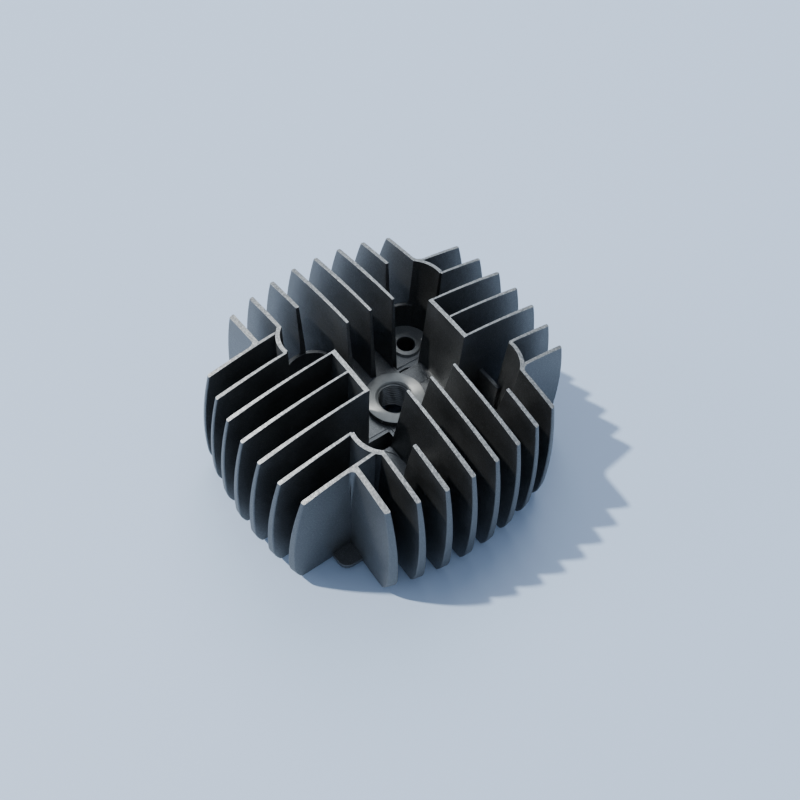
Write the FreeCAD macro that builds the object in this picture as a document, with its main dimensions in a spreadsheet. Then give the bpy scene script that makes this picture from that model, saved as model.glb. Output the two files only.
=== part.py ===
"""Air-cooled two-stroke cylinder head, one die casting modelled region by region.

Frame: +Z points away from the cylinder, z = 0 is the gasket face, and the Z axis is the
spark plug's axis. Right is +X, front is -Y. Sizes are millimetres.
"""
import FreeCAD
import Part
import math
import os

import Sketcher

SIZES = {
    # outer form
    "pitch": 10.0,              # distance from fin to fin, in all four banks
    "apex": 61.0,               # height of the crowned top over the gasket face
    "crown_radius": 255.0,      # the fin tops lie on one large sphere
    "rim_height": 55.0,         # height at which the outline has its nominal size
    "half_width": 54.6,         # outline across X, at the rim
    "half_length": 59.5,        # outline across Y, at the rim
    "outline_shift": 4.2,       # the outline's middle lies this far to the front
    "outline_radius": 100.0,    # each side of the outline is one shallow arc
    "flare": 6.6,               # how far the fins spread below the rim
    "flare_height": 11.0,       # height of the widest point
    "foot_flare": 4.6,          # spread left at the fins' lower corners
    # fins
    "foot_height": 3.0,         # underside of the fins and the base plate
    "fin_top": 1.4,             # thickness at the outer end of the right and left banks
    "slim_top": 1.1,            # the same for the front and back banks
    "fin_foot": 3.8,
    "first_fin_top": 1.8,
    "first_fin_foot": 4.2,
    "thinning": 0.35,           # degrees: each side closes in towards the middle
    "end_round": 0.5,           # rounding of the fins' outer ends
    "inner_round": 0.3,
    "corner_fillet": 2.0,       # upright fillet where two banks meet
    "fin_face": 0.8,            # half a fin's thickness near its top
    "front_line": 40.0,         # the side banks' end fins, from the plug axis
    "back_line": 30.0,
    "long_inner": 17.9,         # inner ends, measured from the plug axis at the top
    "short_inner": 35.6,
    "corner_inner": 31.2,
    "first_inner": 30.0,
    "inner_draft": 6.6,         # how far an inner end moves inwards from top to foot
    # middle
    "cross_wall": 21.3,         # plug axis to the middle of a cross wall
    "cross_wall_top": 1.6,
    "cross_wall_foot": 3.4,
    "cross_wall_half": 10.4,    # half its length, at the top
    "stud": 22.0,               # the four studs stand on a 44 mm square
    "stud_hole_radius": 3.75,
    "stud_mouth_radius": 4.05,  # the hole's chamfered mouth
    "stud_seat_radius": 5.8,
    "stud_seat": 21.5,          # height of the machined stud seats
    "stud_pad": 20.0,           # height of the round pad around a seat
    "stud_floor": 20.4,         # cast floor of the well outside the round pad
    "stud_border": 19.6,        # lower border along the floor's inner edge
    "floor_edge": 13.2,
    "floor_line": 14.4,
    "floor_side": 11.5,
    "well_inner": 10.7,
    "well_outer": 12.1,
    "well_ledge": 33.0,         # top of the low walls that close the fin gaps
    "end_ledge_inner": 31.7,
    "end_ledge_outer": 33.3,
    "wall_foot_inner": 10.8,    # full-height curved wall, with draft
    "wall_foot_outer": 14.0,
    "wall_top_inner": 11.7,
    "wall_top_outer": 13.1,
    # plug boss
    "plug_minor_radius": 6.35,  # M14 x 1.25 core
    "plug_chamfer_radius": 7.6,
    "plug_seat_radius": 11.7,
    "plug_seat": 27.0,
    "plug_boss_foot": 14.0,
    # hub and base
    "platform": 24.4,           # cross-shaped platform round the plug boss
    "border": 24.0,             # the platform's border is one small step lower
    "border_half": 9.8,
    "platform_half": 8.4,
    "platform_step_half": 8.6,
    "platform_foot_half": 14.0,
    "arm_reach": 27.0,
    "hub_radius": 30.0,
    "hub_shoulder_radius": 24.0,
    "hub_shoulder": 12.0,
    "hub_neck_radius": 13.0,
    "hub_neck": 18.0,
    "chamber_radius": 20.0,
    "chamber_depth": 13.5,
    "plate_top": 5.4,
    "plate_half_width": 39.5,
    "plate_half_length": 45.0,
    "plate_shift": 5.0,
    "plate_corner": 4.0,
}

doc = FreeCAD.newDocument("cylinder_head")
sheet = doc.addObject("Spreadsheet::Sheet", "Sizes")
for row, (alias, number) in enumerate(SIZES.items(), start=1):
    sheet.set("A%d" % row, alias)
    sheet.set("B%d" % row, str(number))
    sheet.setAlias("B%d" % row, alias)
doc.recompute()

nodes = []


def amount(text):
    """Value of a sum such as 'apex - plug_seat', read from the sheet."""
    total = 0.0
    sign = 1.0
    for word in text.split():
        if word in "+-":
            sign = -1.0 if word == "-" else 1.0
        else:
            total += sign * (sheet.get(word) if word in SIZES else float(word))
            sign = 1.0
    return total


def formula(text):
    """The same sum as an expression on the sheet's cells."""
    return " ".join("Sizes." + word if word in SIZES else word for word in text.split())


def bind(thing, **texts):
    for name, text in texts.items():
        setattr(thing, name, amount(text))
        thing.setExpression(name, formula(text))


def place(thing, x="0", y="0", z="0", turn=0.0, upright=False):
    """Set a placement: optional quarter turn that stands a wedge up, then a turn about Z."""
    rotation = FreeCAD.Rotation(FreeCAD.Vector(0, 0, 1), turn)
    if upright:
        rotation = rotation.multiply(FreeCAD.Rotation(FreeCAD.Vector(1, 0, 0), 90))
    thing.Placement = FreeCAD.Placement(FreeCAD.Vector(amount(x), amount(y), amount(z)), rotation)
    for axis, text in (("x", x), ("y", y), ("z", z)):
        thing.setExpression(".Placement.Base." + axis, formula(text))


def keep(thing, label):
    """Mark an object as one of the head's regions, to be written to its own file."""
    thing.Label = label
    nodes.append(thing)
    return thing


def cylinder(name, radius, height, x="0", y="0", z="0", angle=360.0, turn=0.0):
    round_bar = doc.addObject("Part::Cylinder", name)
    bind(round_bar, Radius=radius, Height=height)
    round_bar.Angle = angle
    place(round_bar, x, y, z, turn)
    return round_bar


def fuse(name, shapes):
    joined = doc.addObject("Part::MultiFuse", name)
    joined.Shapes = shapes
    joined.Refine = True
    return joined


def common(name, shapes):
    shared = doc.addObject("Part::MultiCommon", name)
    shared.Shapes = shapes
    return shared


def cut(name, base, tool):
    rest = doc.addObject("Part::Cut", name)
    rest.Base = base
    rest.Tool = tool
    return rest


def origin_plane(body, role):
    return next(item for item in body.Origin.OriginFeatures if item.Role == role)


def point_constraints(sketch, index, position, texts):
    """Hold one point of a sketch at a place given by two sums of cells."""
    for kind, text, axis in (("DistanceX", texts[0], -2), ("DistanceY", texts[1], -1)):
        number = amount(text)
        if abs(number) < 1e-9:
            sketch.addConstraint(Sketcher.Constraint("PointOnObject", index, position, axis))
        else:
            made = sketch.addConstraint(
                Sketcher.Constraint(kind, -1, 1, index, position, number))
            sketch.setExpression("Constraints[%d]" % made, formula(text))


def profile(body, name, corners, bulges=None, role="XZ_Plane"):
    """Closed outline through the corners. bulges: {edge number: (radius, side)} makes arcs."""
    bulges = bulges or {}
    sketch = body.newObject("Sketcher::SketchObject", name)
    sketch.AttachmentSupport = [(origin_plane(body, role), "")]
    sketch.MapMode = "FlatFace"
    doc.recompute()
    points = [FreeCAD.Vector(amount(x), amount(y), 0) for x, y in corners]
    count = len(points)
    start_of = []
    for number in range(count):
        start = points[number]
        end = points[(number + 1) % count]
        if number in bulges:
            radius, side = bulges[number]
            chord = end - start
            half = chord.Length / 2
            across = FreeCAD.Vector(chord.y, -chord.x, 0).normalize() * side
            rise = amount(radius) - math.sqrt(amount(radius) ** 2 - half ** 2)
            middle = (start + end) * 0.5 + across * rise
            sketch.addGeometry(Part.Arc(start, middle, end), False)
            begins = sketch.Geometry[number].StartPoint
            start_of.append((1, 2) if (begins - start).Length < 1e-6 else (2, 1))
        else:
            sketch.addGeometry(Part.LineSegment(start, end), False)
            start_of.append((1, 2))
    for number in range(count):
        following = (number + 1) % count
        sketch.addConstraint(Sketcher.Constraint(
            "Coincident", number, start_of[number][1], following, start_of[following][0]))
    for number, corner in enumerate(corners):
        point_constraints(sketch, number, start_of[number][0], corner)
    for number, (radius, side) in bulges.items():
        made = sketch.addConstraint(Sketcher.Constraint("Radius", number, amount(radius)))
        sketch.setExpression("Constraints[%d]" % made, formula(radius))
    doc.recompute()
    return sketch


def turned_body(name, corners, bulges=None, x="0", y="0"):
    """A PartDesign body: one outline, revolved about its own Z axis."""
    body = doc.addObject("PartDesign::Body", name)
    sketch = profile(body, name + "_outline", corners, bulges)
    revolution = body.newObject("PartDesign::Revolution", name + "_turned")
    revolution.Profile = sketch
    revolution.ReferenceAxis = (sketch, ["V_Axis"])
    revolution.Angle = 360.0
    sketch.Visibility = False
    place(body, x, y)
    doc.recompute()
    return body


def drafted_wall(name, bank, offset, inner, inner_foot, top, foot, lean):
    """An upright plate, thicker at its foot, that runs outwards from the plug axis.

    It is leant by a small angle about the outer end of its bank. The part that two plates
    leant opposite ways share is a plate that gets thinner towards the middle."""
    turn, half = BANKS[bank][:2]
    wedge = doc.addObject("Part::Wedge", name)
    bind(wedge, Ymin="foot_height", Ymax="apex + 1")
    bind(wedge, Xmin="%s - %s" % (inner_foot, half), X2min="%s - %s" % (inner, half))
    bind(wedge, Xmax="flare + 12", X2max="flare + 12")
    for low, high, width in (("Zmin", "Zmax", foot), ("Z2min", "Z2max", top)):
        setattr(wedge, low, -amount(width) / 2)
        wedge.setExpression(low, "-%s / 2" % formula(width))
        setattr(wedge, high, amount(width) / 2)
        wedge.setExpression(high, "%s / 2" % formula(width))
    out_x = round(math.cos(math.radians(turn)))
    out_y = round(math.sin(math.radians(turn)))
    place(wedge, turn=turn + lean * amount("thinning"), upright=True)
    place_text = "%d * Sizes." + half + " + %d * Sizes.pitch"
    wedge.setExpression(".Placement.Base.x", place_text % (out_x, -offset * out_y))
    wedge.setExpression(".Placement.Base.y", place_text % (out_y, offset * out_x))
    return wedge


# ---- outer form: crowned top and four bowed, flaring sides ----
crown = doc.addObject("Part::Sphere", "crown")
bind(crown, Radius="crown_radius")
place(crown, z="apex - crown_radius")

BANKS = {
    # name: (turn about Z, half size, axis of the bowed side)
    "right": (0.0, "half_width", ("half_width - outline_radius", "0 - outline_shift")),
    "left": (180.0, "half_width", ("outline_radius - half_width", "0 - outline_shift")),
    "front": (-90.0, "half_length", ("0", "outline_radius - half_length - outline_shift")),
    "back": (90.0, "half_length", ("0", "half_length - outline_radius - outline_shift")),
}
flare_rise = amount("rim_height - flare_height")
flare_radius = (amount("flare") ** 2 + flare_rise ** 2) / (2 * amount("flare"))
foot_step = amount("flare - foot_flare")
foot_rise = amount("flare_height - foot_height")
foot_radius = (foot_step ** 2 + foot_rise ** 2) / (2 * foot_step)
over_rim = amount("apex - rim_height + 1")
over_step = flare_radius - math.sqrt(flare_radius ** 2 - (flare_rise + over_rim) ** 2)
sheet_extra = {
    "flare_arc": flare_radius,
    "foot_arc": foot_radius,
    "over_in": over_step - amount("flare"),
}
for row, (alias, number) in enumerate(sheet_extra.items(), start=len(SIZES) + 1):
    SIZES[alias] = number
    sheet.set("A%d" % row, alias)
    sheet.set("B%d" % row, str(number))
    sheet.setAlias("B%d" % row, alias)
doc.recompute()

sides = {}
for bank, (turn, half, axis) in BANKS.items():
    sides[bank] = turned_body(
        "side_" + bank,
        [("0", "foot_height"),
         ("outline_radius + foot_flare", "foot_height"),
         ("outline_radius + flare", "flare_height"),
         ("outline_radius - over_in", "apex + 1"),
         ("0", "apex + 1")],
        {1: ("foot_arc", 1), 2: ("flare_arc", 1)},
        axis[0], axis[1])

# ---- underside: gasket ring, base plate, stud columns, hub ----
corners4 = {"front_left": (-1, -1), "front_right": (1, -1),
            "back_right": (1, 1), "back_left": (-1, 1)}


def stud_xy(corner):
    side_x, side_y = corners4[corner]
    return ("stud" if side_x > 0 else "0 - stud", "stud" if side_y > 0 else "0 - stud")


def corner_box(name, corner, near_x, far_x, near_y, far_y, low, high):
    """A box in one corner of the head, given by distances from the plug axis."""
    side_x, side_y = corners4[corner]
    box = doc.addObject("Part::Box", name)
    bind(box, Length="%s - %s" % (far_x, near_x), Width="%s - %s" % (far_y, near_y),
         Height="%s - %s" % (high, low))
    place(box, near_x if side_x > 0 else "0 - " + far_x,
          near_y if side_y > 0 else "0 - " + far_y, low)
    return box


columns = {}
column_outer = []
for corner in corners4:
    x, y = stud_xy(corner)
    post = cylinder("post_" + corner, "well_inner", "stud_floor", x, y)
    block = corner_box("floor_block_" + corner, corner, "floor_edge", "stud",
                       "floor_side", "end_ledge_inner", "plate_top", "stud_floor")
    outer = fuse("column_outer_" + corner, [post, block])
    column_outer.append(outer)
    strip = corner_box("floor_strip_" + corner, corner, "cross_wall_half", "floor_line",
                       "platform_half", "end_ledge_outer", "stud_border", "apex")
    over = cylinder("pad_cut_" + corner, "well_inner", "apex", x, y, "stud_pad")
    seat = turned_body("seat_" + corner, [
        ("stud_hole_radius", "stud_pad - 2"),
        ("stud_seat_radius + 0.3", "stud_pad - 2"),
        ("stud_seat_radius + 0.3", "stud_pad"),
        ("stud_seat_radius", "stud_seat"),
        ("stud_mouth_radius", "stud_seat"),
        ("stud_hole_radius", "stud_seat - stud_mouth_radius + stud_hole_radius")], None, x, y)
    column = cut("column_cut_" + corner, outer, fuse("column_cuts_" + corner, [strip, over]))
    column = fuse("column_seat_" + corner, [column, seat])
    bore = cylinder("stud_bore_" + corner, "stud_hole_radius", "apex", x, y, "0 - 1")
    columns[corner] = keep(cut("column_" + corner, column, bore), "stud_boss_" + corner)
column_tools = fuse("column_tools", column_outer)

chamber = doc.addObject("Part::Sphere", "chamber")
DOME = "(Sizes.chamber_radius ^ 2 + Sizes.chamber_depth ^ 2) / (2 * Sizes.chamber_depth)"
place(chamber)
chamber.setExpression("Radius", DOME)
chamber.setExpression(".Placement.Base.z", "Sizes.chamber_depth - " + DOME)
doc.recompute()

plug_boss_blank = turned_body(
    "plug_boss_blank",
    [("plug_minor_radius", "0"),
     ("plug_seat_radius", "0"),
     ("plug_seat_radius", "plug_seat"),
     ("plug_chamfer_radius", "plug_seat"),
     ("plug_minor_radius", "plug_seat - plug_chamfer_radius + plug_minor_radius")])
keep(cut("plug_boss", plug_boss_blank, chamber), "plug_boss")
plug_tool = cylinder("plug_tool", "plug_seat_radius", "apex")

ring = cut("ring_core", cylinder("ring_disc", "hub_radius", "foot_height"), chamber)
ring = cut("ring_open", ring, plug_tool)
keep(cut("gasket_ring", ring, column_tools), "gasket_ring")

plate_body = doc.addObject("PartDesign::Body", "plate_body")
plate_sketch = profile(
    plate_body, "plate_outline",
    [("0 - plate_half_width", "0 - plate_half_length - plate_shift"),
     ("plate_half_width", "0 - plate_half_length - plate_shift"),
     ("plate_half_width", "plate_half_length - plate_shift"),
     ("0 - plate_half_width", "plate_half_length - plate_shift")],
    role="XY_Plane")
plate_pad = plate_body.newObject("PartDesign::Pad", "plate_pad")
plate_pad.Profile = plate_sketch
bind(plate_pad, Length="plate_top - foot_height")
doc.recompute()
upright = ["Edge%d" % (number + 1) for number, edge in enumerate(plate_pad.Shape.Edges)
           if edge.BoundBox.ZLength > 1 and edge.BoundBox.XLength < 0.01
           and edge.BoundBox.YLength < 0.01]
plate_round = plate_body.newObject("PartDesign::Fillet", "plate_round")
plate_round.Base = (plate_pad, upright)
bind(plate_round, Radius="plate_corner")
plate_body.Tip = plate_round
place(plate_body, z="foot_height")
doc.recompute()
plate_hole = cylinder("plate_hole", "hub_radius", "apex")
plate = cut("plate_open", plate_body, plate_hole)
plate = keep(cut("base_plate", plate, column_tools), "base_plate")

hub_turned = turned_body(
    "hub_turned",
    [("0", "foot_height"),
     ("hub_radius", "foot_height"),
     ("hub_radius", "plate_top"),
     ("hub_shoulder_radius", "hub_shoulder"),
     ("hub_neck_radius", "hub_neck"),
     ("0", "hub_neck")])


def arm(name, turn, low, high, foot_half, top_half):
    bar = doc.addObject("Part::Wedge", name)
    bind(bar, Ymin=low, Ymax=high, Xmin="0 - arm_reach", Xmax="arm_reach",
         X2min="0 - arm_reach + 4", X2max="arm_reach - 4",
         Zmin="0 - " + foot_half, Zmax=foot_half, Z2min="0 - " + top_half, Z2max=top_half)
    place(bar, turn=turn, upright=True)
    return bar


hub_solid = fuse("hub_solid", [hub_turned] + [
    arm("arm_%s_%d" % (level[0], turn), turn, *level)
    for turn in (0, 90)
    for level in (("plate_top", "border", "platform_foot_half", "border_half"),
                  ("border", "platform", "platform_step_half", "platform_half"))])
hub_tools = fuse("hub_tools", [chamber, plug_tool, column_tools])
hub = keep(cut("combustion_dome", hub_solid, hub_tools), "combustion_dome")

# ---- stud wells: low walls across the fin gaps, and a full-height curved wall ----
def cone_bar(name, foot, top, x, y, angle, turn):
    bar = doc.addObject("Part::Cone", name)
    bind(bar, Radius1=foot, Radius2=top, Height="apex + 1 - plate_top")
    bar.Angle = angle
    place(bar, x, y, "plate_top", turn)
    return bar


WALL_START = {"back_right": 39.0, "back_left": 81.0, "front_left": 219.0, "front_right": 261.0}
LEDGE_START = {"back_right": -59.0, "back_left": 134.0, "front_left": 121.0, "front_right": -46.0}
WALL_SWEEP = 60.0
LEDGE_SWEEP = 105.0
walls = {}
for corner, (side_x, side_y) in corners4.items():
    x, y = stud_xy(corner)
    solid = cone_bar("wall_solid_" + corner, "wall_foot_outer", "wall_top_outer",
                     x, y, WALL_SWEEP, WALL_START[corner])
    core = cone_bar("wall_core_" + corner, "wall_foot_inner", "wall_top_inner",
                    x, y, 360.0, 0.0)
    wall = cut("wall_open_" + corner, solid, core)
    wall = common("wall_crowned_" + corner, [wall, crown])
    wall = keep(cut("wall_free_" + corner, wall, column_tools), "well_wall_" + corner)
    ledge = cylinder("ledge_solid_" + corner, "well_outer", "well_ledge - plate_top",
                     x, y, "plate_top", LEDGE_SWEEP, LEDGE_START[corner])
    ledge_core = cylinder("ledge_core_" + corner, "well_inner", "apex", x, y)
    ledge = cut("ledge_open_" + corner, ledge, fuse("ledge_cut_" + corner, [ledge_core, wall]))
    ledge = keep(cut("ledge_free_" + corner, ledge, hub_solid), "side_ledge_" + corner)
    bar = corner_box("end_bar_" + corner, corner, "pitch", "stud",
                     "end_ledge_inner", "end_ledge_outer", "plate_top", "well_ledge")
    bar = keep(cut("end_free_" + corner, bar, fuse("end_cut_" + corner, [wall, column_tools])),
               "end_ledge_" + corner)
    walls[corner] = [wall, ledge, bar, core]

# ---- cross walls that tie the three middle fins of the front and back banks ----
cross_walls = {}
for bank in ("front", "back"):
    turn = BANKS[bank][0]
    bar = doc.addObject("Part::Wedge", "cross_bar_" + bank)
    bind(bar, Ymin="plate_top", Ymax="apex + 1",
         Zmin="0 - cross_wall_half - 1", Zmax="cross_wall_half + 1",
         Z2min="0 - cross_wall_half", Z2max="cross_wall_half")
    for low, high, width in (("Xmin", "Xmax", "cross_wall_foot"),
                             ("X2min", "X2max", "cross_wall_top")):
        setattr(bar, low, amount("cross_wall") - amount(width) / 2)
        bar.setExpression(low, "Sizes.cross_wall - Sizes.%s / 2" % width)
        setattr(bar, high, amount("cross_wall") + amount(width) / 2)
        bar.setExpression(high, "Sizes.cross_wall + Sizes.%s / 2" % width)
    place(bar, turn=turn, upright=True)
    bar = common("cross_crowned_" + bank, [bar, crown])
    bar = cut("cross_free_" + bank, bar, hub_solid)
    cross_walls[bank] = keep(bar, "cross_wall_" + bank)

base_tools = fuse("base_tools", [hub_solid, plate_body, column_tools])


# ---- fins ----
def fin(bank, number, offset, inner, drafted, top, foot):
    """One fin: a plate trimmed by the outer form, with rounded ends."""
    turn = BANKS[bank][0]
    name = "%s_%d" % (bank, number)
    inner_foot = inner + " - inner_draft" if drafted else inner
    plates = [drafted_wall("plate_%s_%s" % (side, name), bank, offset, inner, inner_foot,
                           top, foot, lean) for side, lean in (("a", 1), ("b", -1))]
    trimmed = common("trimmed_" + name, plates + [sides[bank], crown])
    doc.recompute()
    reach = FreeCAD.Vector(math.cos(math.radians(turn)), math.sin(math.radians(turn)), 0)
    spans = []
    for edge in trimmed.Shape.Edges:
        places = [vertex.Point.dot(reach) for vertex in edge.Vertexes]
        spans.append((min(places), max(places), edge.BoundBox.ZLength))
    outermost = max(span[1] for span in spans)
    innermost = min(span[0] for span in spans)
    rounds = []
    for index, (nearest, furthest, rise) in enumerate(spans):
        if nearest > outermost - 12 and rise > 3:
            rounds.append((index + 1, amount("end_round"), amount("end_round")))
        if drafted and furthest < innermost + 8 and rise > 20:
            rounds.append((index + 1, amount("inner_round"), amount("inner_round")))
    rounded = doc.addObject("Part::Fillet", "rounded_" + name)
    rounded.Base = trimmed
    rounded.Edges = rounds
    return rounded


def finish_fin(blank, bank, number, tools):
    shape = cut("cut_%s_%d" % (bank, number), blank, tools)
    return keep(shape, "fin_%s_%d" % (bank, number))


# front and back banks: seven fins each, numbered from left to right
blanks = {}
for bank in ("front", "back"):
    for number in range(1, 8):
        across = number - 4
        offset = across if bank == "front" else -across
        inner = {3: "corner_inner", 2: "stud + well_outer", 1: "cross_wall",
                 0: "cross_wall"}[abs(across)]
        blanks[bank, number] = fin(bank, number, offset, inner, False, "slim_top", "fin_foot")
# right and left banks: eight fins each, numbered from front to back
for bank in ("right", "left"):
    for number in range(1, 9):
        along = number - 5
        offset = along if bank == "right" else -along
        inner, drafted = {-4: ("first_inner", False), -3: ("first_inner", False),
                          -2: ("short_inner", True), -1: ("long_inner", True),
                          0: ("long_inner", True), 1: ("long_inner", True),
                          2: ("short_inner", True), 3: ("first_inner", False)}[along]
        top, foot = ("first_fin_top", "first_fin_foot") if along == -4 \
            else ("fin_top", "fin_foot")
        blanks[bank, number] = fin(bank, number, offset, inner, drafted, top, foot)


def corner_fillet(bank, side, line):
    """The upright fillet in the V between a front or back fin and a side bank's end fin."""
    name = "fillet_%s_%s" % (bank, side)
    box = doc.addObject("Part::Box", name + "_box")
    bind(box, Length="corner_fillet + 1", Width="corner_fillet + 1",
         Height="apex - foot_height")
    starts = []
    centres = []
    for positive, gap in ((side == "right", "first_inner"), (bank == "back", line)):
        if positive:
            starts.append(gap + " + fin_face - 1")
            centres.append(gap + " + fin_face + corner_fillet")
        else:
            starts.append("0 - " + gap + " - fin_face - corner_fillet")
            centres.append("0 - " + gap + " - fin_face - corner_fillet")
    place(box, starts[0], starts[1], "foot_height")
    round_bar = cylinder(name + "_round", "corner_fillet", "apex + 2", centres[0], centres[1],
                         "0 - 1")
    return common(name, [cut(name + "_cut", box, round_bar), crown])


for (bank, number), blank in blanks.items():
    tools = [base_tools]
    if bank in ("front", "back"):
        if number in (3, 4, 5):
            tools.append(cross_walls[bank])
        corner = "%s_%s" % (bank, "left" if number < 4 else "right")
        near = number != 4
    else:
        end = "front" if number < 5 else "back"
        corner = "%s_%s" % (end, bank)
        near = number != 5
        if number in (1, 2, 8):
            partner = blanks[end, 7 if bank == "right" else 1]
            tools.append(partner)
        if number in (1, 8):
            fillet = corner_fillet(end, bank, "front_line" if number == 1 else "back_line")
            blank = fuse("filleted_%s_%d" % (bank, number), [blank, fillet])
    if near:
        # a well is only hollowed out of the fins that end at it, not of those that pass by
        passing = number in ((3, 5) if bank in ("front", "back") else (4, 6))
        tools += walls[corner][:3] if passing else walls[corner]
    group = tools[0] if len(tools) == 1 else fuse("tools_%s_%d" % (bank, number), tools)
    finish_fin(blank, bank, number, group)

doc.recompute()

# ---- checks and files ----
for thing in doc.Objects:
    if "Invalid" in thing.State or "Error" in thing.State:
        raise SystemExit("%s failed: %s" % (thing.Name, thing.State))
for node in nodes:
    if node.Shape.isNull() or not node.Shape.isValid():
        raise SystemExit("%s has no valid shape" % node.Label)
os.makedirs("parts", exist_ok=True)
for node in nodes:
    node.Shape.exportStep("parts/%s.step" % node.Label)
    print("%-24s solids %d volume %9.1f" % (node.Label, len(node.Shape.Solids), node.Shape.Volume))
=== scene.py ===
"""Looks of a finned cylinder head around its CAD frame. Metres, +Z out of the cylinder."""
import math

import bmesh
import bpy
from mathutils import Matrix, Vector
from mathutils.bvhtree import BVHTree


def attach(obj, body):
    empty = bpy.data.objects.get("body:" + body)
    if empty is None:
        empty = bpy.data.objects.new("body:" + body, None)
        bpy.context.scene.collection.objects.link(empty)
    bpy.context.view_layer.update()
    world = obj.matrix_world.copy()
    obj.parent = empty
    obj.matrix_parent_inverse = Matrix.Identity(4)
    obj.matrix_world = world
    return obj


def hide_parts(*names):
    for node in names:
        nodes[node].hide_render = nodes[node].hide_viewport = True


MM = 0.001

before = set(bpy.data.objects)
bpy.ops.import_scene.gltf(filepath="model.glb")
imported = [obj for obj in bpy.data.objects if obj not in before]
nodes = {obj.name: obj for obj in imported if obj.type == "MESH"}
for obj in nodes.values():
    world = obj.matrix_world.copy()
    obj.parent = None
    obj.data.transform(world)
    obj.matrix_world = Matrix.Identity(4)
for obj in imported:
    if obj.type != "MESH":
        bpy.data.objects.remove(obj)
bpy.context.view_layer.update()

# sizes of the CAD regions: heights are over the gasket face
CROWN_RADIUS = 255.0 * MM       # the fin tops lie on this sphere
APEX = 61.0 * MM                # its highest point, on the plug's axis
PLATFORM = 24.4 * MM
STUD = 22.0 * MM                # from the plug's axis to a stud's, in X and in Y
STUD_SEAT = 21.5 * MM
STUD_DRILLED = 3.9 * MM         # faces nearer a stud's axis belong to its hole
PLUG_SEAT = 27.0 * MM
PLUG_OUTER = 11.7 * MM
PLUG_MOUTH = 7.6 * MM
PLUG_CORE = 6.35 * MM
DOME_RADIUS = 20.0 * MM
DOME_DEPTH = 13.5 * MM

# shapes that only the looks have
EDGE_ROUND = 0.28 * MM          # rounding of the casting's free edges
SEAT_ROUND = 0.12 * MM          # and of the turned plug seat's edges
THREAD_PITCH = 1.25 * MM
THREAD_DEPTH = 0.6 * MM
THREAD_START = 0.6 * MM         # below the plug seat
THREAD_SLOPE = 2.2              # rise of a flank, in depths per half pitch
THREAD_CUT = 0.6                # taken off it, so that crests and roots are equally flat
FLASH_RADIUS = 0.13 * MM

# how a CAD region is read
WELD = 0.002 * MM               # corners nearer than this are one
SAME_LEVEL = 0.02 * MM
FLAT = math.radians(0.4)        # edges flatter than this only split a face
ROUNDED = math.radians(35)      # outer edges sharper than this are rounded
CREASED = math.radians(33)      # edges sharper than this are shaded as edges
SEAT_CREASED = math.radians(30)
PROBE_STEP = 3.0 * MM           # an edge is tested about this often
PROBE_REACH = 0.08 * MM         # and this far from it

# noise scales, in cells per metre
CLOUDS, SMUDGES = 60.0, 260.0
COARSE_GRAIN, TOP_HIGHLIGHT_GRAIN, FINE_GRAIN, SPECKS = 420.0, 1300.0, 1900.0, 2000.0
TOOL_RINGS = 5200.0


def placed(name, data):
    """A new object in the scene."""
    thing = bpy.data.objects.new(name, data)
    bpy.context.scene.collection.objects.link(thing)
    return thing


# ---------------------------------------------------------------- materials
def new_material(name):
    material = bpy.data.materials.new(name)
    material.use_nodes = True
    tree = material.node_tree
    tree.nodes.clear()
    output = tree.nodes.new("ShaderNodeOutputMaterial")
    shader = tree.nodes.new("ShaderNodeBsdfPrincipled")
    tree.links.new(shader.outputs["BSDF"], output.inputs["Surface"])
    return material, tree, shader


def noise_node(tree, coords, scale, detail, rough):
    texture = tree.nodes.new("ShaderNodeTexNoise")
    texture.inputs["Scale"].default_value = scale
    texture.inputs["Detail"].default_value = detail
    texture.inputs["Roughness"].default_value = rough
    tree.links.new(coords, texture.inputs["Vector"])
    return texture.outputs["Fac"]


def ramp_node(tree, value, stops):
    ramp = tree.nodes.new("ShaderNodeValToRGB")
    while len(ramp.color_ramp.elements) < len(stops):
        ramp.color_ramp.elements.new(0.5)
    for element, (place, colour) in zip(ramp.color_ramp.elements, stops):
        element.position = place
        element.color = (*colour, 1.0)
    tree.links.new(value, ramp.inputs["Fac"])
    return ramp.outputs["Color"]


def range_node(tree, value, low, high, from_low=0.3, from_high=0.7):
    span = tree.nodes.new("ShaderNodeMapRange")
    span.inputs["From Min"].default_value = from_low
    span.inputs["From Max"].default_value = from_high
    span.inputs["To Min"].default_value = low
    span.inputs["To Max"].default_value = high
    tree.links.new(value, span.inputs["Value"])
    return span.outputs["Result"]


def bump_node(tree, height, strength, distance, normal=None):
    bump = tree.nodes.new("ShaderNodeBump")
    bump.inputs["Strength"].default_value = strength
    bump.inputs["Distance"].default_value = distance
    tree.links.new(height, bump.inputs["Height"])
    if normal is not None:
        tree.links.new(normal, bump.inputs["Normal"])
    return bump.outputs["Normal"]


def vector_node(tree, operation, source, other=None):
    vector = tree.nodes.new("ShaderNodeVectorMath")
    vector.operation = operation
    tree.links.new(source, vector.inputs[0])
    if other is not None:
        vector.inputs[1].default_value = other
    return vector


def mixed(tree, factor, first, second):
    """A blend of two colours, each a socket or plain numbers."""
    blend = tree.nodes.new("ShaderNodeMix")
    blend.data_type = "RGBA"
    blend.blend_type = "MIX"
    tree.links.new(factor, blend.inputs["Factor"])
    for source, socket in ((first, blend.inputs["A"]), (second, blend.inputs["B"])):
        if isinstance(source, tuple):
            socket.default_value = (*source, 1.0)
        else:
            tree.links.new(source, socket)
    return blend.outputs["Result"]


def shaded(colour, factor):
    return tuple(channel * factor for channel in colour)


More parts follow.
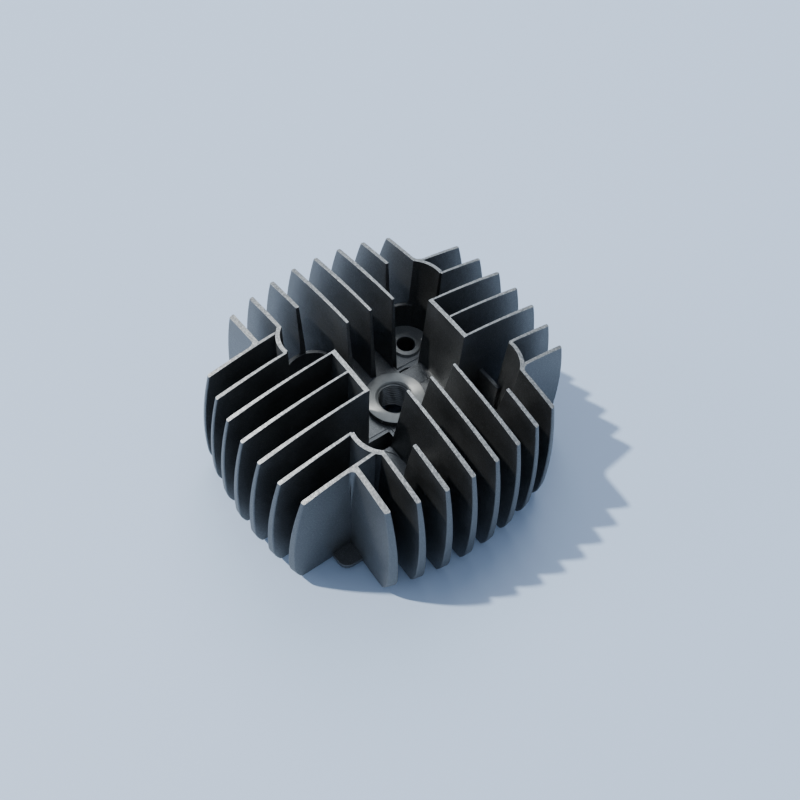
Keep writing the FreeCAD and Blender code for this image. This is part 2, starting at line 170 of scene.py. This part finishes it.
def cast_material(name, dark, light, roughness, grain, metallic=1.0):
    """Blasted die-cast aluminium: cloudy grey, fine bright grain, and a painted highlight on
    the tops.
    """
    material, tree, shader = new_material(name)
    coords = tree.nodes.new("ShaderNodeTexCoord").outputs["Object"]
    cloud = noise_node(tree, coords, CLOUDS, 4.0, 0.5)
    body = ramp_node(tree, cloud, [(0.30, dark), (0.72, light)])
    speck = noise_node(tree, coords, SPECKS, 3.0, 0.75)
    grains = range_node(tree, speck, 0.0, 0.5, 0.48, 0.72)
    body = mixed(tree, grains, body, shaded(light, 1.9))
    # the painted highlight on the tops fades out within a thin zone under the crown's sphere
    crown_middle = (0.0, 0.0, APEX - CROWN_RADIUS)
    reach = vector_node(tree, "DISTANCE", coords, crown_middle).outputs["Value"]
    top_highlight_mask = range_node(tree, reach, 0.0, 1.0,
                        CROWN_RADIUS - 0.20 * MM, CROWN_RADIUS - 0.04 * MM)
    # painted highlight: a lighter colour on the fin tops in place of the glint of the sun and
    # sky
    top_highlight_colour = (0.42, 0.44, 0.44)
    top_highlight = ramp_node(tree, noise_node(tree, coords, TOP_HIGHLIGHT_GRAIN, 3.0, 0.8),
                        [(0.42, shaded(light, 1.3)), (0.66, top_highlight_colour)])
    body = mixed(tree, top_highlight_mask, body, top_highlight)
    tree.links.new(body, shader.inputs["Base Color"])
    shader.inputs["Metallic"].default_value = metallic
    tree.links.new(range_node(tree, cloud, roughness - 0.05, roughness + 0.07),
                   shader.inputs["Roughness"])
    fine = noise_node(tree, coords, FINE_GRAIN, 3.0, 0.6)
    normal = bump_node(tree, fine, grain, 0.12 * MM)
    coarse = noise_node(tree, coords, COARSE_GRAIN, 3.0, 0.5)
    normal = bump_node(tree, coarse, 0.35, 0.15 * MM, normal)
    tree.links.new(normal, shader.inputs["Normal"])
    return material


PLUG_AXIS = Vector((0.0, 0.0, 0.0))
STUD_AXIS = Vector((STUD, STUD, 0.0))


def turned_material(name, colour, roughness, middle):
    """Face turned on a lathe: fine rings round an upright axis through the given place.

    A place off the plug's axis has the same rings at its mirror images in X and Y.
    """
    material, tree, shader = new_material(name)
    coords = tree.nodes.new("ShaderNodeTexCoord").outputs["Object"]
    folded = vector_node(tree, "ABSOLUTE", coords).outputs["Vector"]
    shifted = vector_node(tree, "SUBTRACT", folded, middle).outputs["Vector"]
    flat = vector_node(tree, "MULTIPLY", shifted, (1.0, 1.0, 0.0)).outputs["Vector"]
    radius = vector_node(tree, "LENGTH", flat).outputs["Value"]
    rings = tree.nodes.new("ShaderNodeTexNoise")
    rings.noise_dimensions = "1D"
    rings.inputs["Scale"].default_value = TOOL_RINGS
    rings.inputs["Detail"].default_value = 2.0
    tree.links.new(radius, rings.inputs["W"])
    smudge = noise_node(tree, coords, SMUDGES, 4.0, 0.6)
    tone = ramp_node(tree, smudge, [(0.3, shaded(colour, 0.8)), (0.7, colour)])
    tree.links.new(tone, shader.inputs["Base Color"])
    shader.inputs["Metallic"].default_value = 1.0
    shader.inputs["Roughness"].default_value = roughness
    normal = bump_node(tree, rings.outputs["Fac"], 0.55, 0.05 * MM)
    tree.links.new(normal, shader.inputs["Normal"])
    if middle == PLUG_AXIS:
        # the grooves stretch a glint; the tangent node only knows the piece's own upright axis
        tangent = tree.nodes.new("ShaderNodeTangent")
        tangent.direction_type = "RADIAL"
        tangent.axis = "Z"
        tree.links.new(tangent.outputs["Tangent"], shader.inputs["Tangent"])
        shader.inputs["Anisotropic"].default_value = 0.85
        shader.inputs["Anisotropic Rotation"].default_value = 0.25
    return material


cast = cast_material("cast_aluminium", (0.112, 0.117, 0.120), (0.145, 0.151, 0.155), 0.48, 0.9)
# the stud bosses are the same cast metal, coloured lighter as painted light on the deep well
# floors
pad_cast_painted_lighter = cast_material("cast_pad_painted_lighter", (0.20, 0.208, 0.212), (0.24, 0.25, 0.255), 0.60, 1.0, 0.35)
plug_turned = turned_material("turned_plug_seat", (0.215, 0.225, 0.225), 0.50, PLUG_AXIS)
# the thread is coloured darker than the turned seat: painted shade inside the bore
bore_cut_painted_shade = turned_material("cut_thread_painted_shade", (0.17, 0.175, 0.175), 0.28, PLUG_AXIS)
stud_turned = turned_material("turned_stud_seats", (0.27, 0.28, 0.282), 0.5, STUD_AXIS)
ground = turned_material("milled_gasket_face", (0.45, 0.46, 0.47), 0.35, PLUG_AXIS)


# ---------------------------------------------------------------- cast pieces
def solid_of(name):
    """The named CAD region as an editable mesh, in the frame's own axes."""
    solid = bmesh.new()
    solid.from_mesh(nodes[name].data)
    bmesh.ops.transform(solid, matrix=nodes[name].matrix_world, verts=solid.verts)
    bmesh.ops.remove_doubles(solid, verts=solid.verts, dist=WELD)
    return solid


# each region's box and surface, which tell whether a point is inside it
trees = {}
for name in sorted(nodes):
    solid = solid_of(name)
    along = list(zip(*(vertex.co for vertex in solid.verts)))
    low, high = [min(values) for values in along], [max(values) for values in along]
    trees[name] = (low, high, BVHTree.FromBMesh(solid))
    solid.free()


def covered(point, name):
    """Whether a point lies inside a region other than the named one."""
    for other, (low, high, tree) in trees.items():
        if other == name or not all(a < b < c for a, b, c in zip(low, point, high)):
            continue
        place, normal = tree.find_nearest(point)[:2]
        if (point - place).dot(normal) < 0.0:
            return True
    return False


def free_edge(edge, name):
    """Whether an edge is open to the air, and not on a joint with another region."""
    first, second = (face.normal for face in edge.link_faces)
    start, end = (vertex.co for vertex in edge.verts)
    count = max(3, int((end - start).length / PROBE_STEP))
    for step in range(count):
        place = start.lerp(end, (step + 0.5) / count)
        for out, inwards in ((first, second), (second, first)):
            if covered(place + (out - inwards) * PROBE_REACH, name):
                return False
    return True


def cast_copy(name, faces=None, material=cast):
    """A copy of a CAD region with its free sharp edges rounded like a casting's.

    Where faces(face) holds, the face takes the piece's second material.
    """
    solid = solid_of(name)
    bmesh.ops.dissolve_limit(solid, angle_limit=FLAT,
                             verts=solid.verts, edges=solid.edges)
    solid.normal_update()
    sharp = [edge for edge in solid.edges if len(edge.link_faces) == 2
             and edge.calc_face_angle_signed() > ROUNDED and free_edge(edge, name)]
    bmesh.ops.bevel(solid, geom=sharp, offset=EDGE_ROUND, segments=3, profile=0.5,
                    affect="EDGES", clamp_overlap=True)
    for face in solid.faces:
        face.smooth = True
        if faces is not None and faces(face):
            face.material_index = 1
    mesh = bpy.data.meshes.new("cast_" + name)
    solid.to_mesh(mesh)
    solid.free()
    mesh.set_sharp_from_angle(angle=CREASED)
    mesh.materials.append(material)
    piece = placed("cast_" + name, mesh)
    weighted = piece.modifiers.new("even_faces", "WEIGHTED_NORMAL")
    weighted.keep_sharp = True
    weighted.weight = 90
    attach(piece, "root")
    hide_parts(name)
    return piece


def on_level(face, height):
    """Whether a face lies flat at a height."""
    return abs(face.calc_center_median().z - height) < SAME_LEVEL and abs(face.normal.z) > 0.99


def gasket_faces(face):
    """The milled underside."""
    return on_level(face, 0.0)


def stud_faces(face):
    """The turned seat of a stud boss, its drilled hole and the milled underside."""
    middle = face.calc_center_median()
    off_axis = math.hypot(abs(middle.x) - STUD, abs(middle.y) - STUD)
    drilled = off_axis < STUD_DRILLED and abs(face.normal.z) < 0.5
    return drilled or on_level(face, STUD_SEAT) or on_level(face, 0.0)


for name in sorted(nodes):
    if name.startswith("fin_"):
        cast_copy(name)
    elif name.startswith("stud_boss_"):
        piece = cast_copy(name, stud_faces, pad_cast_painted_lighter)
        piece.data.materials.append(stud_turned)
    elif name == "gasket_ring":
        piece = cast_copy(name, gasket_faces)
        piece.data.materials.append(ground)
    elif name != "plug_boss":
        cast_copy(name)


# ---------------------------------------------------------------- threaded plug boss
def dome_height(radius):
    """Height of the combustion chamber's roof at a distance from the plug axis."""
    ball = (DOME_RADIUS ** 2 + DOME_DEPTH ** 2) / (2 * DOME_DEPTH)
    return DOME_DEPTH - ball + math.sqrt(ball ** 2 - radius ** 2)


def thread_radius(height, turn):
    """Radius of the internal thread: a trapezoid wave that climbs one pitch a turn."""
    phase = (height / THREAD_PITCH - turn) % 1.0
    wave = min(1.0, max(0.0, THREAD_SLOPE * (1.0 - abs(2.0 * phase - 1.0)) - THREAD_CUT))
    return PLUG_CORE + THREAD_DEPTH * wave


def plug_boss():
    """The plug's boss as one closed ring: outer wall, turned seat, chamfer, thread, roof."""
    columns, rows_per_turn, chamfer_rows = 128, 10, 5
    seat_material, bore_material = 1, 2
    chamfer_foot = PLUG_SEAT - (PLUG_MOUTH - PLUG_CORE)
    bend = SEAT_ROUND / 3       # the rounding's middle lies this far inside the corner
    mouth_drop = 0.05 * MM
    outline = [(PLUG_OUTER, dome_height(PLUG_OUTER)), (PLUG_OUTER, PLUG_SEAT - SEAT_ROUND),
               (PLUG_OUTER - bend, PLUG_SEAT - bend), (PLUG_OUTER - SEAT_ROUND, PLUG_SEAT),
               (PLUG_MOUTH + SEAT_ROUND, PLUG_SEAT), (PLUG_MOUTH, PLUG_SEAT - mouth_drop)]
    rings = [[point] * columns for point in outline]
    # the bore: the chamfer cuts into the thread, and both go down in equal steps
    top, bottom = PLUG_SEAT - THREAD_START, dome_height(PLUG_CORE)
    steps = int((chamfer_foot - bottom) / (THREAD_PITCH / rows_per_turn)) + chamfer_rows
    for step in range(steps + 1):
        height = top - (top - bottom) * step / steps
        chamfer = PLUG_CORE + max(0.0, height - chamfer_foot)
        rings.append([(max(chamfer, thread_radius(height, column / columns)), height)
                      for column in range(columns)])

    solid = bmesh.new()
    loops = [[solid.verts.new((radius * math.cos(math.tau * column / columns),
                               radius * math.sin(math.tau * column / columns), height))
              for column, (radius, height) in enumerate(ring)] for ring in rings]
    for index, loop in enumerate(loops):
        following = loops[(index + 1) % len(loops)]
        for column in range(columns):
            beside = (column + 1) % columns
            face = solid.faces.new((loop[column], loop[beside],
                                    following[beside], following[column]))
            face.smooth = True
            if index > 0:
                above = face.calc_center_median().z > chamfer_foot
                face.material_index = seat_material if above else bore_material
    bmesh.ops.recalc_face_normals(solid, faces=solid.faces)
    mesh = bpy.data.meshes.new("turned_plug_boss")
    solid.to_mesh(mesh)
    solid.free()
    mesh.set_sharp_from_angle(angle=SEAT_CREASED)
    for material in (cast, plug_turned, bore_cut_painted_shade):
        mesh.materials.append(material)
    piece = placed("turned_plug_boss", mesh)
    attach(piece, "root")
    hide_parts("plug_boss")


plug_boss()


# ---------------------------------------------------------------- flash left on the casting
def flash_line(name, start, end):
    """A thin straight line of metal between two places."""
    curve = bpy.data.curves.new(name, "CURVE")
    curve.dimensions = "3D"
    curve.bevel_depth = FLASH_RADIUS
    curve.bevel_resolution = 2
    curve.use_fill_caps = True
    spline = curve.splines.new("POLY")
    spline.points.add(1)
    for point, place in zip(spline.points, (start, end)):
        point.co = (*place, 1.0)
    curve.materials.append(cast)
    piece = placed(name, curve)
    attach(piece, "root")


# what the die's joint has left on the platform behind the plug, half sunk into it
flash_line("flash_across_platform", (-1.3 * MM, 13.2 * MM, PLATFORM),
           (-1.3 * MM, 19.8 * MM, PLATFORM))
flash_line("flash_along_platform", (-5.6 * MM, 17.3 * MM, PLATFORM),
           (-1.5 * MM, 17.3 * MM, PLATFORM))

# a nib that the facing tool has pushed over the plug seat's edge, towards the front right
nib_way = Vector((0.5, -0.85, 0.0)).normalized()
flash_line("nib_on_plug_seat",
           nib_way * (PLUG_OUTER - 0.5 * MM) + Vector((0, 0, PLUG_SEAT - FLASH_RADIUS)),
           nib_way * (PLUG_OUTER + 0.9 * MM) + Vector((0, 0, PLUG_SEAT - 2 * FLASH_RADIUS)))


# ---------------------------------------------------------------- stage, light, camera
# the floor lies a touch low, so that it never meets the gasket face
bpy.ops.mesh.primitive_plane_add(size=6.0, location=(0.0, 0.0, -0.1 * MM))
floor = bpy.context.object
floor.name = "floor"
floor_material, _, floor_shader = new_material("pale_floor")
floor_shader.inputs["Base Color"].default_value = (0.42, 0.54, 0.72, 1.0)
floor_shader.inputs["Roughness"].default_value = 0.6
floor.data.materials.append(floor_material)

world = bpy.data.worlds.new("studio")
world.use_nodes = True
background = world.node_tree.nodes["Background"]
background.inputs["Color"].default_value = (0.62, 0.72, 0.90, 1.0)
background.inputs["Strength"].default_value = 0.66
bpy.context.scene.world = world


def lit(name, kind, energy, colour, place, target):
    """A light at a place, turned towards a target."""
    data = bpy.data.lights.new(name, kind)
    data.energy = energy
    data.color = colour
    light = placed(name, data)
    light.location = place
    direction = Vector(target) - Vector(place)
    light.rotation_euler = direction.to_track_quat("-Z", "Y").to_euler()
    return data


def lit_disk(name, size, energy, colour, place, target):
    """A round, even patch of light."""
    data = lit(name, "AREA", energy, colour, place, target)
    data.shape = "DISK"
    data.size = size


# the camera looks down at the front right corner, turned a little on its own axis
AZIMUTH = math.radians(48.73)
ELEVATION = math.radians(55.07)
ROLL = math.radians(5.96)
CAMERA_PLACE = Vector((0.1400, -0.1202, 0.2897))
back = Vector((math.sin(AZIMUTH) * math.cos(ELEVATION),
               -math.cos(AZIMUTH) * math.cos(ELEVATION), math.sin(ELEVATION)))

sun_way = Vector((-0.45, -0.41, 0.80)).normalized()
sun_data = lit("key", "SUN", 4.6, (1.0, 0.97, 0.92), sun_way * 2.0, (0, 0, 0))
sun_data.angle = math.radians(2.0)

# a bright patch of sky that the fin tops mirror towards the camera
sky_way = Vector((-back.x, -back.y, back.z))
lit_disk("bright_sky", 1.1, 12.0, (0.93, 0.97, 1.0), sky_way * 1.6, (0, 0, 0.04))

# low daylight from the front left, for the outer ends of the fins
lit_disk("low_fill", 0.9, 7.0, (0.88, 0.94, 1.0), Vector((-0.75, -1.15, 0.42)), (0, 0, 0.03))

level_right = Vector((math.cos(AZIMUTH), math.sin(AZIMUTH), 0.0))
level_up = back.cross(level_right)
right = level_right * math.cos(ROLL) + level_up * math.sin(ROLL)
up = level_up * math.cos(ROLL) - level_right * math.sin(ROLL)
camera_data = bpy.data.cameras.new("camera")
camera_data.lens = 37.85
camera_data.sensor_width = 36.0
camera_data.clip_start = 0.01
camera = placed("camera", camera_data)
turn = Matrix((right, up, back)).transposed()
camera.matrix_world = Matrix.Translation(CAMERA_PLACE) @ turn.to_4x4()
bpy.context.scene.camera = camera
